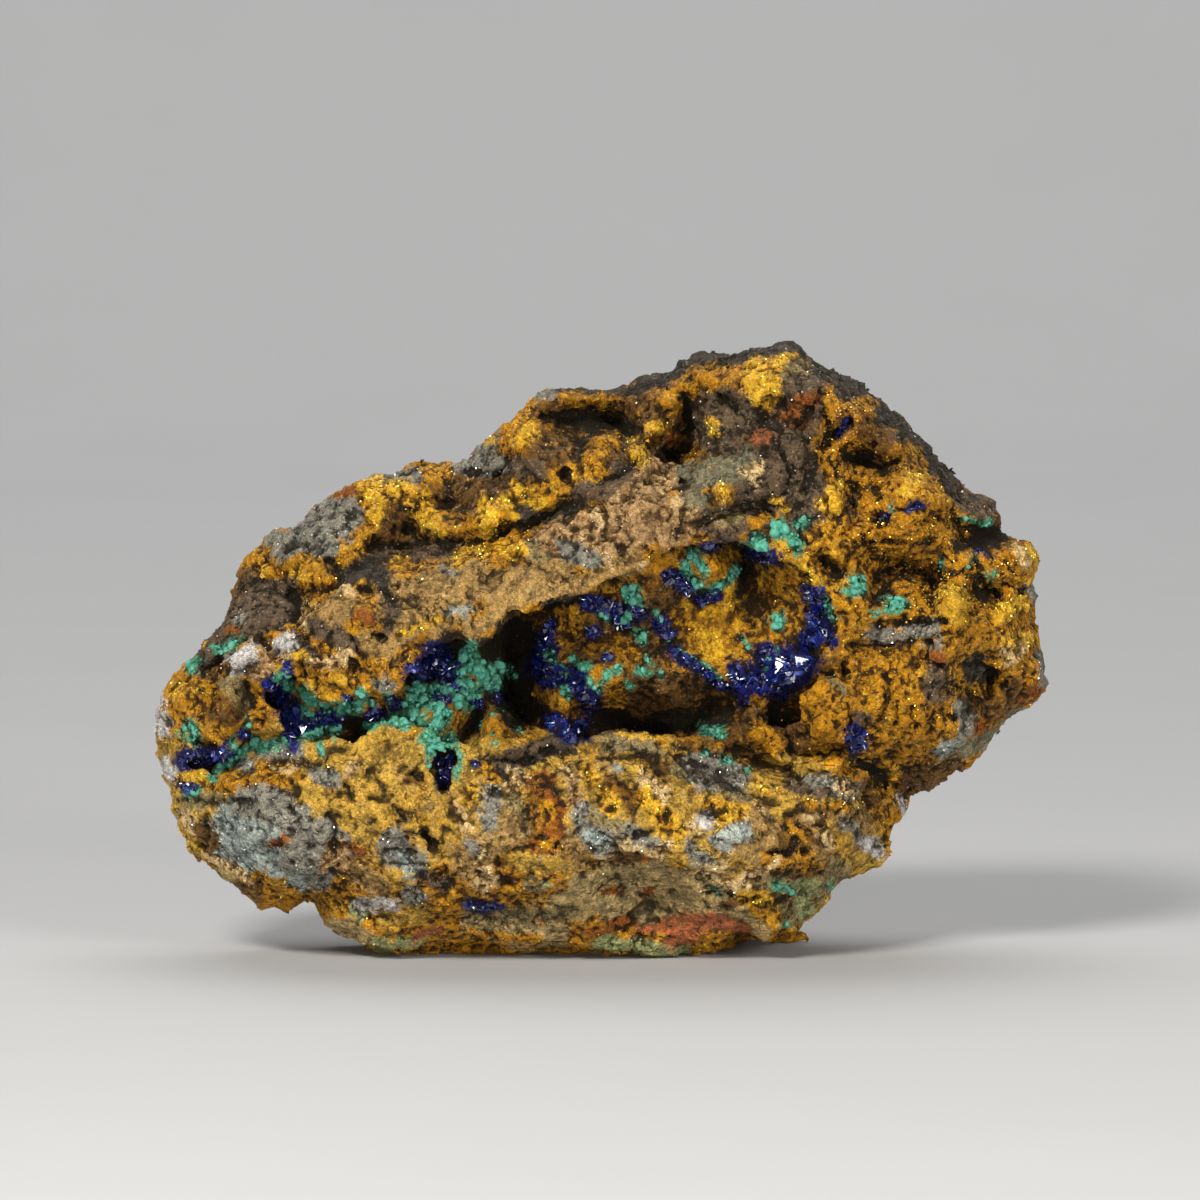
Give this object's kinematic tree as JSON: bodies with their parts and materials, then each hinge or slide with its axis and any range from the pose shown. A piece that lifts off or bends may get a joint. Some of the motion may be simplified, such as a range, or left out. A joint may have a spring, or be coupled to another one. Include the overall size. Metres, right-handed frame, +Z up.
{
  "type": "azurite specimen on matrix",
  "caption": "Lump of ochre iron-stained rock with an open vug lined by dark-blue azurite crystals, green malachite crusts and white quartz chips, resting on a flat base.",
  "frame": {"origin": "bottom centre of the bounding box, on the surface the specimen rests on", "axes": "+X along the length of the lump, +Z up, the open vug faces -Y"},
  "size_m": [0.0952, 0.0474, 0.065],
  "materials": {
    "host_rock": "rough, earthy iron oxide over grey rock",
    "azurite": "glassy dark-blue crystal",
    "malachite": "matte to silky green crust",
    "quartz": "milky, broken faces"
  },
  "bodies": {
    "root": {"azurite_band": "azurite", "azurite_cleft": "azurite", "azurite_ledge_rib": "azurite", "azurite_ledge_top": "azurite", "azurite_left_tip": "azurite", "azurite_lower_seam": "azurite", "azurite_nodule_rim": "azurite", "azurite_pillar": "azurite", "azurite_pocket_top": "azurite", "azurite_right_low": "azurite", "azurite_sill": "azurite", "azurite_vug_left": "azurite", "malachite_base_right": "malachite", "malachite_cleft_back": "malachite", "malachite_cleft_mid": "malachite", "malachite_cleft_rim": "malachite", "malachite_ledge_top": "malachite", "malachite_lower_lip": "malachite", "malachite_nodule_ring": "malachite", "malachite_pocket_crown": "malachite", "malachite_pocket_mid": "malachite", "malachite_pocket_top": "malachite", "malachite_right_lower": "malachite", "malachite_right_upper": "malachite", "malachite_slot_wall": "malachite", "malachite_vug_main": "malachite", "malachite_vug_upper": "malachite", "matrix": "host_rock", "quartz_druse": "quartz", "quartz_left_edge": "quartz", "quartz_left_face": "quartz", "quartz_lower_left": "quartz", "quartz_lower_right": "quartz"}
  },
  "joints": []
}
